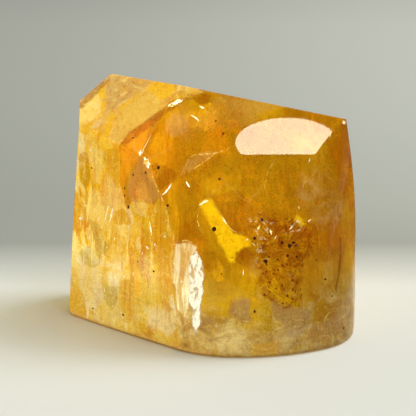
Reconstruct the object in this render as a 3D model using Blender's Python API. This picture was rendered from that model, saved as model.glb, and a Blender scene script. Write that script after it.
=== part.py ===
"""Golden healer quartz: one cut and polished free-form block that stands on a flat base.

The block is made as a stone cutter makes it. A rounded blank is shaped first, then flat faces are
ground across its top, its corners are polished, and a few chips and pits are left in it.
Lengths are in millimetres and are turned into metres once, when the mesh is finished.
X runs along the length, -Y is the front and Z is up.
"""
import math

import bmesh
import bpy
from mathutils import Matrix, Vector

MILLIMETRE = 0.001
MERGE_DISTANCE = 0.02

SHOULDER_HEIGHT = 53.1  # where the front meets the ground top; the waist is halfway up to it
BLANK_HEIGHT = 75.0

# The corner lines of the blank, round the stone from the left corner, each with its place (x, y)
# at foot, waist and shoulder, and how far its rounding reaches along the faces at foot and shoulder
CORNERS = {
    "left": {"line": ((-42.1, 7.0), (-40.3, 6.6), (-37.9, 5.3)), "rounding": (1.2, 1.0)},
    "front": {"line": ((-5.3, -23.6), (-8.8, -19.5), (-19.7, -9.9)), "rounding": (6.5, 0.25)},
    "right": {"line": ((37.5, -15.2), (33.6, -12.7), (27.5, -9.0)), "rounding": (6.0, 0.25)},
    "right_end": {"line": ((40.2, -4.8), (40.2, -4.4), (37.7, -3.2)), "rounding": (4.0, 1.0)},
    "back_right": {"line": ((31.5, 24.0), (31.0, 24.2), (28.0, 21.0)), "rounding": (4.0, 3.0)},
    "back_left": {"line": ((-39.8, 24.5), (-39.9, 24.9), (-39.2, 23.0)), "rounding": (3.0, 2.0)},
}

# The faces between those corners: steps along the face, and how far its middle bulges out at foot
# and shoulder
FACES = {
    "left": {"steps": 6, "bulge": (0.3, 0.0)},
    "front": {"steps": 12, "bulge": (5.0, 0.0)},
    "right": {"steps": 2, "bulge": (0.2, 0.0)},
    "right_end": {"steps": 5, "bulge": (1.0, 0.6)},
    "back_right": {"steps": 8, "bulge": (1.4, 0.8)},
    "back_left": {"steps": 3, "bulge": (0.2, 0.0)},
}
CORNER_STEPS = {"left": 2, "front": 8, "right": 6, "right_end": 4, "back_right": 4, "back_left": 3}
ROWS_BELOW_SHOULDER = 12
ROWS_ABOVE_SHOULDER = 3
BULGE_FALL = 1.5  # how early the faces' bulge falls away below the shoulder
ROUNDING_HEIGHTS = (14.0, 46.0)  # the corners' rounding dies away between these heights

# The foot's polished edge: its height and its depth in from the faces
FOOT_EDGE_HEIGHT = 1.3
FOOT_EDGE_DEPTH = 1.1
FOOT_EDGE_ROWS = 3

# Where the flat faces ground across the top meet
APEX = Vector((-19.7, -9.9, 53.1))
LEFT_NOTCH = Vector((-37.5, 5.0, 57.0))
PEAK = Vector((-9.3, 2.2, 69.6))
RIGHT_NOTCH = Vector((27.5, -9.0, 53.1))
RIGHT_PEAK = Vector((34.1, -1.4, 61.3))
LEFT_PEAK = Vector((-29.0, 15.0, 69.8))
LEFT_CORNER = Vector((-38.3, 11.4, 62.2))
LEFT_CORNER_BACK = Vector((-39.2, 30.9, 58.3))

# The left face rolls over into the left bevel, most at the far end from the apex
ROLL_STEPS = 3
ROLL_DEPTH_AT_APEX = 0.12
ROLL_DEPTH_AT_NOTCH = 0.6
LEFT_FACE_LEAN = math.radians(0.5)

ARRIS_DEPTH = 0.14  # how far the top's sharp edges are eased back

# Chips out of the edges and pits in the polish: the middle of each hollow, and the half sizes of
# the rounded lump of air that it is
CHIPS = {
    "right_peak_chip": {"place": (37.1, -3.6, 62.0), "half_sizes": (1.7, 1.5, 2.0)},
    "right_edge_chip": {"place": (38.9, -4.0, 41.0), "half_sizes": (0.8, 0.9, 0.9)},
    "peak_chip": {"place": (-9.0, 2.2, 70.3), "half_sizes": (1.3, 1.3, 1.2)},
    "front_pit": {"place": (-4.7, -22.0, 15.8), "half_sizes": (0.9, 0.9, 1.6)},
    "front_upper_pit": {"place": (-4.7, -20.6, 24.4), "half_sizes": (0.8, 0.8, 1.3)},
}
CHIP_ROUNDNESS = 2  # subdivisions of each lump
CHIP_TURN = math.radians(35.0)  # each lump is turned this much more than the one before

QUARTZ_COLOUR = (0.78, 0.46, 0.07, 1.0)
QUARTZ_IOR = 1.544
POLISH_ROUGHNESS = 0.08
CLEARNESS = 0.6
SHARP_ANGLE = math.radians(14.0)


def along(start, middle, end, share):
    """The point at a share of the way along the smooth line through three evenly spaced points."""
    first = 2.0 * (share - 0.5) * (share - 1.0)
    second = 4.0 * share * (1.0 - share)
    third = 2.0 * share * (share - 0.5)
    return Vector(start) * first + Vector(middle) * second + Vector(end) * third


def corner_place(name, height):
    """Where a corner line of the blank stands at a height."""
    return along(*CORNERS[name]["line"], height / SHOULDER_HEIGHT)


def hump(share):
    """A parabola that stands 1 high in the middle and is 0 at both ends."""
    return 4.0 * share * (1.0 - share)


def rounding_at(name, height):
    """How far a corner's rounding reaches at a height: wide at the foot, then easing to crisp."""
    at_foot, at_shoulder = CORNERS[name]["rounding"]
    low, high = ROUNDING_HEIGHTS
    share = min(max((height - low) / (high - low), 0.0), 1.0)
    share = share * share * (3.0 - 2.0 * share)
    return at_foot + (at_shoulder - at_foot) * share


def bulge_at(name, height):
    """How far a face's middle bulges at a height: it falls away as a dome does."""
    at_foot, at_shoulder = FACES[name]["bulge"]
    share = max(1.0 - (height / SHOULDER_HEIGHT) ** 2, 0.0) ** BULGE_FALL
    return at_shoulder + (at_foot - at_shoulder) * share


def outline(height, inset=0.0):
    """The blank's outline at a height, as points round it from the left corner's rounding."""
    names = list(CORNERS)
    places = [corner_place(name, height) for name in names]
    reaches = [rounding_at(name, height) for name in names]

    def on_face(index, share):
        """A point on the bulged face that starts at a corner."""
        start = places[index]
        end = places[(index + 1) % len(names)]
        out = Vector((end.y - start.y, start.x - end.x)).normalized()
        return start.lerp(end, share) + out * bulge_at(names[index], height) * hump(share)

    points = []
    for index, name in enumerate(names):
        previous = (index - 1) % len(names)
        length_before = (places[index] - places[previous]).length
        length_after = (places[(index + 1) % len(names)] - places[index]).length
        share_before = 1.0 - reaches[index] / length_before
        share_after = reaches[index] / length_after
        enter = on_face(previous, share_before)
        leave = on_face(index, share_after)
        for step in range(CORNER_STEPS[name] + 1):
            t = step / CORNER_STEPS[name]
            points.append(enter.lerp(places[index], t).lerp(places[index].lerp(leave, t), t))
        share_end = 1.0 - reaches[(index + 1) % len(names)] / length_after
        for step in range(1, FACES[name]["steps"]):
            t = step / FACES[name]["steps"]
            points.append(on_face(index, share_after + (share_end - share_after) * t))
    if inset:
        middle = sum(points, Vector((0.0, 0.0))) / len(points)
        points = [p + (middle - p).normalized() * inset for p in points]
    return points


def blank_rows():
    """The heights of the blank's rows and how far each is drawn in, from the foot up."""
    rows = []
    for step in range(FOOT_EDGE_ROWS):
        turn = math.radians(90.0) * step / FOOT_EDGE_ROWS
        rows.append((FOOT_EDGE_HEIGHT * (1.0 - math.cos(turn)), FOOT_EDGE_DEPTH * (1.0 - math.sin(turn))))
    for step in range(ROWS_BELOW_SHOULDER + 1):
        share = step / ROWS_BELOW_SHOULDER
        rows.append((FOOT_EDGE_HEIGHT + (SHOULDER_HEIGHT - FOOT_EDGE_HEIGHT) * share, 0.0))
    for step in range(1, ROWS_ABOVE_SHOULDER + 1):
        share = step / ROWS_ABOVE_SHOULDER
        rows.append((SHOULDER_HEIGHT + (BLANK_HEIGHT - SHOULDER_HEIGHT) * share, 0.0))
    return rows


def shape_blank(bm):
    """Skins the blank: one ring of points for each row, walls between them and a cap at each end."""
    rings = []
    for height, inset in blank_rows():
        rings.append([bm.verts.new((p.x, p.y, height)) for p in outline(height, inset)])
    for lower, upper in zip(rings, rings[1:]):
        for index in range(len(lower)):
            after = (index + 1) % len(lower)
            bm.faces.new((lower[index], lower[after], upper[after], upper[index]))
    bm.faces.new(list(reversed(rings[0])))
    bm.faces.new(rings[-1])


def grind(bm, point, normal):
    """Takes off all that stands proud of a plane and closes the cut with one flat face."""
    geometry = bm.verts[:] + bm.edges[:] + bm.faces[:]
    cut = bmesh.ops.bisect_plane(
        bm, geom=geometry, dist=1e-6, plane_co=point, plane_no=normal, clear_outer=True
    )
    edges = [item for item in cut["geom_cut"] if isinstance(item, bmesh.types.BMEdge)]
    bmesh.ops.contextual_create(bm, geom=edges)


def plane_through(first, second, third):
    """A point and the outward normal of the plane through three points, upper side out."""
    normal = (second - first).cross(third - first).normalized()
    if normal.z < 0.0:
        normal.negate()
    return first, normal


def ease(bm, edge_point, plane_a, plane_b):
    """Takes the sharpness off the straight edge between two ground faces."""
    normal = (plane_a[1] + plane_b[1]).normalized()
    grind(bm, edge_point - normal * ARRIS_DEPTH, normal)


def roll_left_face(bm, bevel_normal):
    """Rounds the left face over into the left bevel with narrow faces between the two."""
    edge = (LEFT_NOTCH - APEX).normalized()
    away = edge.cross(Vector((0.0, 0.0, 1.0))).normalized()
    if away.y > 0.0:
        away.negate()
    up = edge.cross(away)
    if up.z < 0.0:
        up.negate()
    bevel_lean = math.atan2(bevel_normal.dot(up), bevel_normal.dot(away))
    for step in range(1, ROLL_STEPS + 1):
        share = step / (ROLL_STEPS + 1)
        lean = LEFT_FACE_LEAN + (bevel_lean - LEFT_FACE_LEAN) * share
        normal = away * math.cos(lean) + up * math.sin(lean)
        near = APEX - normal * ROLL_DEPTH_AT_APEX * hump(share)
        far = LEFT_NOTCH - normal * ROLL_DEPTH_AT_NOTCH * hump(share)
        side = normal.cross(edge)
        grind(bm, *plane_through(near, far, near + side))


def grind_top(bm):
    """The flat faces across the top: two bevels, the sloping top and the cut left corner."""
    top = plane_through(LEFT_PEAK, PEAK, RIGHT_PEAK)
    left_cut = plane_through(LEFT_CORNER, LEFT_PEAK, LEFT_CORNER_BACK)
    front_bevel = plane_through(APEX, RIGHT_NOTCH, PEAK)
    left_bevel = plane_through(APEX, LEFT_NOTCH, PEAK)
    for face in (top, left_cut, front_bevel, left_bevel):
        grind(bm, *face)
    roll_left_face(bm, left_bevel[1])
    ease(bm, PEAK, front_bevel, left_bevel)
    ease(bm, PEAK, front_bevel, top)
    ease(bm, PEAK, left_bevel, top)
    ease(bm, LEFT_PEAK, left_bevel, left_cut)
    ease(bm, LEFT_PEAK, top, left_cut)


def quartz_material():
    material = bpy.data.materials.new("golden_healer_quartz")
    material.use_nodes = True
    shader = material.node_tree.nodes["Principled BSDF"]
    shader.inputs["Base Color"].default_value = QUARTZ_COLOUR
    shader.inputs["Metallic"].default_value = 0.0
    shader.inputs["Roughness"].default_value = POLISH_ROUGHNESS
    shader.inputs["IOR"].default_value = QUARTZ_IOR
    shader.inputs["Transmission Weight"].default_value = CLEARNESS
    return material


def make_block():
    """The block's object, and the middle of its footprint on the drawing."""
    bm = bmesh.new()
    shape_blank(bm)
    grind_top(bm)
    bmesh.ops.remove_doubles(bm, verts=bm.verts, dist=MERGE_DISTANCE)
    bmesh.ops.recalc_face_normals(bm, faces=bm.faces)
    across = [vert.co.x for vert in bm.verts]
    deep = [vert.co.y for vert in bm.verts]
    middle = Vector(((min(across) + max(across)) / 2.0, (min(deep) + max(deep)) / 2.0, 0.0))
    bmesh.ops.translate(bm, vec=-middle, verts=bm.verts)
    bmesh.ops.scale(bm, vec=(MILLIMETRE,) * 3, verts=bm.verts)
    mesh = bpy.data.meshes.new("quartz_block")
    bm.to_mesh(mesh)
    bm.free()
    mesh.shade_smooth()
    mesh.set_sharp_from_angle(angle=SHARP_ANGLE)
    mesh.materials.append(quartz_material())
    block = bpy.data.objects.new("quartz_block", mesh)
    bpy.context.collection.objects.link(block)
    return block, middle


def make_chips(middle):
    """One cutter that holds the hollow of every chip and pit."""
    bm = bmesh.new()
    for index, chip in enumerate(CHIPS.values()):
        turn = Matrix.Rotation(CHIP_TURN * index, 4, "Z") @ Matrix.Rotation(CHIP_TURN * index, 4, "X")
        sizes = Matrix.Diagonal((*chip["half_sizes"], 1.0))
        place = Matrix.Translation(Vector(chip["place"]) - middle)
        matrix = Matrix.Scale(MILLIMETRE, 4) @ place @ sizes @ turn
        bmesh.ops.create_icosphere(bm, subdivisions=CHIP_ROUNDNESS, radius=1.0, matrix=matrix)
    mesh = bpy.data.meshes.new("chip_cutter")
    bm.to_mesh(mesh)
    bm.free()
    cutter = bpy.data.objects.new("chip_cutter", mesh)
    cutter.hide_render = True
    cutter.display_type = "WIRE"
    bpy.context.collection.objects.link(cutter)
    return cutter


def main():
    for thing in list(bpy.data.objects):
        bpy.data.objects.remove(thing, do_unlink=True)
    block, middle = make_block()
    chips = block.modifiers.new("chips", "BOOLEAN")
    chips.operation = "DIFFERENCE"
    chips.solver = "EXACT"
    chips.object = make_chips(middle)


main()
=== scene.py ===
"""Golden healer quartz: the polished stone's surface and colours, the veils, stains and specks inside
it, and the studio that it stands in.

Sizes and places are in millimetres in the frame's own axes: X along the stone, -Y its front, Z up.
They are turned into metres where a mesh or an object is made.
"""

import math
import random

import bmesh
import bpy
import numpy as np
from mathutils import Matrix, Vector, noise
from mathutils.bvhtree import BVHTree


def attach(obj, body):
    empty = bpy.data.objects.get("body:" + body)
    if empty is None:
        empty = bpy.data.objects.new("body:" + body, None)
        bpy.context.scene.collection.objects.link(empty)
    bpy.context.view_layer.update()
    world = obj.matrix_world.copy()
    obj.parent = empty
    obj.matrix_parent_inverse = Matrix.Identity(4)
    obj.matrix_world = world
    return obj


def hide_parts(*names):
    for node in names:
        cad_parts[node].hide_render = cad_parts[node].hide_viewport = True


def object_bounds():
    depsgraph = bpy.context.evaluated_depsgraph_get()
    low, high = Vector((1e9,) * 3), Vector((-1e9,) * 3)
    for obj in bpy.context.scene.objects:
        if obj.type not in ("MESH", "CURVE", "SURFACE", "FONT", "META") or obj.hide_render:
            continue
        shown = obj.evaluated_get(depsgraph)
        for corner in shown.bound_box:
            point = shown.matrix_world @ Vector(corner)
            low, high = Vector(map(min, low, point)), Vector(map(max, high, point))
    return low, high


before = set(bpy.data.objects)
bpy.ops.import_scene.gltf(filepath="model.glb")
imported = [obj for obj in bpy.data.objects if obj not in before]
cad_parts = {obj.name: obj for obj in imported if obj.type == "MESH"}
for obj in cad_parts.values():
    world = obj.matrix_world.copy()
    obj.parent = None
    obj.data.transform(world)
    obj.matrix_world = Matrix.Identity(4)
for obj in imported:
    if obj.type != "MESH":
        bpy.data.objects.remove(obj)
CAD_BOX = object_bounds()
MILLIMETRE = 0.001
NODE = "quartz_block"

# Camera: it looks along +Y and down at the stone
CAMERA_TARGET = Vector((-0.6, -0.6, 34.9))
CAMERA_ELEVATION = math.radians(18.0)
CAMERA_DISTANCE = 452.5
CAMERA_LENS = 140.0
TO_CAMERA = Vector((0.0, -math.cos(CAMERA_ELEVATION), math.sin(CAMERA_ELEVATION)))

# Dark cloths round the stone, outside the picture: name, x range and y range
CLOTHS = (
    ("front_cloth", (-700.0, 700.0), (-1100.0, -72.0)),
    ("left_cloth", (-700.0, -72.0), (-72.0, 160.0)),
    ("right_cloth", (78.0, 700.0), (-72.0, 420.0)),
    ("rear_cloth", (44.0, 78.0), (8.0, 420.0)),
)
CLOTH_HEIGHT = 1.0

# Colours of the stone by daylight
CREAM = (0.98, 0.76, 0.20)
PALE_GOLD = (0.97, 0.60, 0.030)
HONEY = (0.82, 0.47, 0.005)
LEMON = (0.93, 0.60, 0.004)
EMBER = (0.98, 0.49, 0.006)
ORANGE = (0.78, 0.35, 0.004)
AMBER = (0.56, 0.26, 0.003)
BROWN = (0.50, 0.21, 0.003)
RUST = (0.46, 0.15, 0.002)
ROSE_TAN = (0.80, 0.46, 0.11)
SAND = (0.64, 0.41, 0.085)
PEACH = (0.84, 0.52, 0.13)
FROST = (0.99, 0.88, 0.52)
OLIVE = (0.54, 0.36, 0.05)
GREY_ROSE = (0.54, 0.36, 0.13)
DARK_RUST = (0.14, 0.035, 0.001)
DEEP_GOLD = (0.78, 0.42, 0.004)
OLD_GOLD = (0.62, 0.33, 0.003)
STRAW = (0.97, 0.61, 0.015)
WARM_TAN = (0.72, 0.48, 0.07)
GREY_TAN = (0.52, 0.34, 0.10)
MAUVE = (0.50, 0.29, 0.10)
SAFFRON = (0.82, 0.49, 0.006)
CHALK = (0.94, 0.70, 0.23)
UMBER = (0.36, 0.18, 0.02)
IRON_BLACK = (0.020, 0.006, 0.003)
IRON_BROWN = (0.06, 0.014, 0.006)
GLINT_WHITE = (1.0, 0.96, 0.86)

# Floor tones from near to far, with painted light and shade: pale by the stone, a band of painted shade
# behind it, lighter again further off
NEAR_FLOOR = (0.755, 0.78, 0.735)
FLOOR_PAINTED_SHADE = (0.36, 0.378, 0.345)
FAR_FLOOR = (0.44, 0.46, 0.425)
FARTHEST_FLOOR = (0.52, 0.54, 0.50)
FLOOR_RADIUS = 4.0  # metres
CLOTH_BLACK = (0.02, 0.02, 0.02)
DAYLIGHT = (1.0, 0.97, 0.92)
LOW_SUNLIGHT = (0.98, 0.91, 0.72)

QUARTZ_IOR = 1.544


class Paint:
    """A Principled material, and a short way to write its nodes."""

    def __init__(self, name):
        self.material = bpy.data.materials.new(name)
        self.material.use_nodes = True
        self.nodes = self.material.node_tree.nodes
        self.links = self.material.node_tree.links
        self.shader = self.nodes["Principled BSDF"]
        self.output = self.nodes["Material Output"]
        object_place = self.nodes.new("ShaderNodeTexCoord").outputs["Object"]
        self.place = self.stretch(object_place, scale=(1.0 / MILLIMETRE,) * 3)

    def add(self, kind, values=None, **settings):
        """A new node with its settings, and its inputs set or linked by name or number."""
        node = self.nodes.new(kind)
        for key, value in settings.items():
            setattr(node, key, value)
        for key, value in (values or {}).items():
            self.give(node.inputs[key], value)
        return node

    def give(self, socket, value):
        """Links a socket to another one, or sets its value."""
        if isinstance(value, bpy.types.NodeSocket):
            self.links.new(value, socket)
        elif socket.type == "RGBA" and len(value) == 3:
            socket.default_value = (*value, 1.0)
        else:
            socket.default_value = value

    def attribute(self, name):
        return self.add("ShaderNodeAttribute", attribute_name=name).outputs["Fac"]

    def axis(self, vector, name):
        return self.add("ShaderNodeSeparateXYZ", {0: vector}).outputs[name]

    def stretch(self, vector, scale=(1.0, 1.0, 1.0), turn=(0.0, 0.0, 0.0)):
        values = {"Vector": vector, "Rotation": turn, "Scale": scale}
        return self.add("ShaderNodeMapping", values).outputs["Vector"]

    def math(self, operation, first, second=0.0):
        return self.add("ShaderNodeMath", {0: first, 1: second}, operation=operation).outputs["Value"]

    def times(self, product, *others):
        for other in others:
            product = self.math("MULTIPLY", product, other)
        return product

    def centred(self, value):
        """A noise or tone from 0 to 1, as how far it is above its middle."""
        return self.math("SUBTRACT", value, 0.5)

    def scaled(self, vector, factor):
        return self.add("ShaderNodeVectorMath", {0: vector, "Scale": factor}, operation="SCALE").outputs[0]

    def noise(self, vector, size, detail=4.0, roughness=0.5, distortion=0.0, output="Fac"):
        """Noise whose lumps are about size millimetres across."""
        values = {
            "Vector": vector,
            "Scale": 1.0 / size,
            "Detail": detail,
            "Roughness": roughness,
            "Distortion": distortion,
        }
        return self.add("ShaderNodeTexNoise", values).outputs[output]

    def cells(self, vector, size, feature="F1", output="Distance"):
        """Angular cells about size millimetres across."""
        values = {"Vector": vector, "Scale": 1.0 / size}
        return self.add("ShaderNodeTexVoronoi", values, feature=feature).outputs[output]

    def ease(self, value, low, high, to_low=0.0, to_high=1.0):
        """A smooth step from to_low at low up to to_high at high."""
        values = {"Value": value, "From Min": low, "From Max": high, "To Min": to_low, "To Max": to_high}
        node = self.add("ShaderNodeMapRange", values, interpolation_type="SMOOTHSTEP", clamp=True)
        return node.outputs["Result"]

    def blend(self, share, first, second, mode="MIX"):
        """Mixes two colours."""
        values = {0: share, 6: first, 7: second}
        return self.add("ShaderNodeMix", values, data_type="RGBA", blend_type=mode).outputs[2]

    def mix(self, share, first, second):
        """Mixes two numbers."""
        values = {0: share, 2: first, 3: second}
        return self.add("ShaderNodeMix", values, data_type="FLOAT").outputs[0]

    def separate(self, colour):
        """The first number of a colour."""
        return self.add("ShaderNodeSeparateColor", {0: colour}).outputs[0]

    def cell_tone(self, vector, size):
        """One random number for each angular cell."""
        return self.separate(self.cells(vector, size, output="Color"))

    def strip_tone(self, across, width):
        """One random number for each strip, which is about width millimetres wide."""
        values = {"W": across, "Scale": 1.0 / width}
        strips = self.add("ShaderNodeTexVoronoi", values, voronoi_dimensions="1D")
        return self.separate(strips.outputs["Color"])

    def ridge(self, value, crest, outer, inner):
        """1 where a value is at its crest, and 0 where it is further off than outer."""
        return self.ease(self.math("ABSOLUTE", self.math("SUBTRACT", value, crest)), outer, inner)

    def ramp(self, value, *stops):
        """A colour that goes through (position, colour) stops."""
        node = self.add("ShaderNodeValToRGB", {"Fac": value})
        elements = node.color_ramp.elements
        while len(elements) < len(stops):
            elements.new(0.5)
        for element, (position, colour) in zip(elements, stops):
            element.position = position
            element.color = (*colour, 1.0)
        return node.outputs["Color"]

    def warp(self, vector, size, reach):
        """Pushes places about, so that what is drawn on them gets an irregular outline."""
        push = self.noise(vector, size, detail=3.0, output="Color")
        centred = self.add("ShaderNodeVectorMath", {0: push, 1: (0.5, 0.5, 0.5)}, operation="SUBTRACT")
        shift = self.scaled(centred.outputs[0], reach)
        return self.add("ShaderNodeVectorMath", {0: vector, 1: shift}).outputs[0]

    def finish(self, colour, roughness, alpha=None, specular=None):
        """Sets the shader's colour and gloss, and gives back the material."""
        inputs = self.shader.inputs
        self.give(inputs["Base Color"], colour)
        inputs["Roughness"].default_value = roughness
        if specular is not None:
            inputs["Specular IOR Level"].default_value = specular
        if alpha is not None:
            self.give(inputs["Alpha"], alpha)
        return self.material


def mesh_from(bm, name):
    mesh = bpy.data.meshes.new(name)
    bm.to_mesh(mesh)
    bm.free()
    return mesh


def place_mesh(name, mesh, material=None):
    thing = bpy.data.objects.new(name, mesh)
    bpy.context.collection.objects.link(thing)
    if material:
        mesh.materials.clear()
        mesh.materials.append(material)
    return thing


# Soft clouds of colour in the front, as seen from there: middle (x, z), half width and half height,
# turn in degrees, colour and strength
CLOUDS = {
    "haze_at_top_left": ((-27.0, 65.0), (10.0, 5.0), 12.0, SAND, 0.7),
    "left_edge_glow": ((-35.5, 57.0), (3.0, 4.5), 0.0, CREAM, 0.7),
    "left_gold": ((-31.0, 49.0), (6.5, 7.5), 0.0, STRAW, 0.5),
    "left_low_gold": ((-27.0, 12.0), (16.0, 12.0), 0.0, HONEY, 0.42),
    "orange_heart": ((-17.0, 52.0), (8.0, 13.0), 20.0, ORANGE, 0.85),
    "orange_below": ((-12.0, 38.0), (7.0, 7.0), 0.0, HONEY, 0.8),
    "left_cream_high": ((-28.0, 31.0), (7.0, 10.0), 0.0, CREAM, 0.3),
    "left_edge_pale": ((-38.5, 35.0), (3.5, 9.0), 0.0, PALE_GOLD, 0.6),
    "left_corner_gold": ((-37.0, 12.0), (4.5, 12.0), 0.0, HONEY, 0.55),
    "bevel_rose": ((-8.0, 61.0), (3.5, 4.0), 0.0, ROSE_TAN, 0.35),
    "bevel_top_haze": ((12.0, 65.5), (13.0, 2.2), 13.0, ROSE_TAN, 0.45),
    "bevel_amber": ((-6.0, 55.0), (9.0, 5.0), 0.0, ORANGE, 0.5),
    "bevel_deep": ((4.0, 59.0), (9.0, 6.5), 0.0, AMBER, 0.85),
    "golden_middle": ((6.0, 45.0), (10.0, 8.0), 0.0, HONEY, 0.6),
    "amber_right": ((22.0, 45.0), (15.0, 8.0), -10.0, AMBER, 0.6),
    "olive_under_bevel": ((24.0, 50.0), (9.0, 2.5), 0.0, HONEY, 0.5),
    "brown_over_band": ((10.0, 38.0), (6.0, 4.5), 0.0, BROWN, 0.6),
    "band_glow": ((1.0, 34.0), (3.0, 8.5), 32.0, LEMON, 0.6),
    "brown_end": ((33.5, 32.0), (4.5, 30.0), -3.0, AMBER, 0.55),
    "gold_edge": ((40.5, 36.0), (2.8, 32.0), -3.0, HONEY, 0.8),
    "amber_low_right": ((32.0, 14.0), (9.0, 12.0), 0.0, UMBER, 0.6),
    "gold_low_middle": ((8.0, 20.0), (9.0, 7.0), -15.0, OLD_GOLD, 0.5),
    "sand_foot": ((6.0, 4.0), (16.0, 4.5), -2.0, SAND, 0.6),
}
CLOUD_MIDDLE_Y = -12.0
CLOUD_HALF_DEPTH = 26.0
CLOUD_SOFTNESS = 0.45

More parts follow.
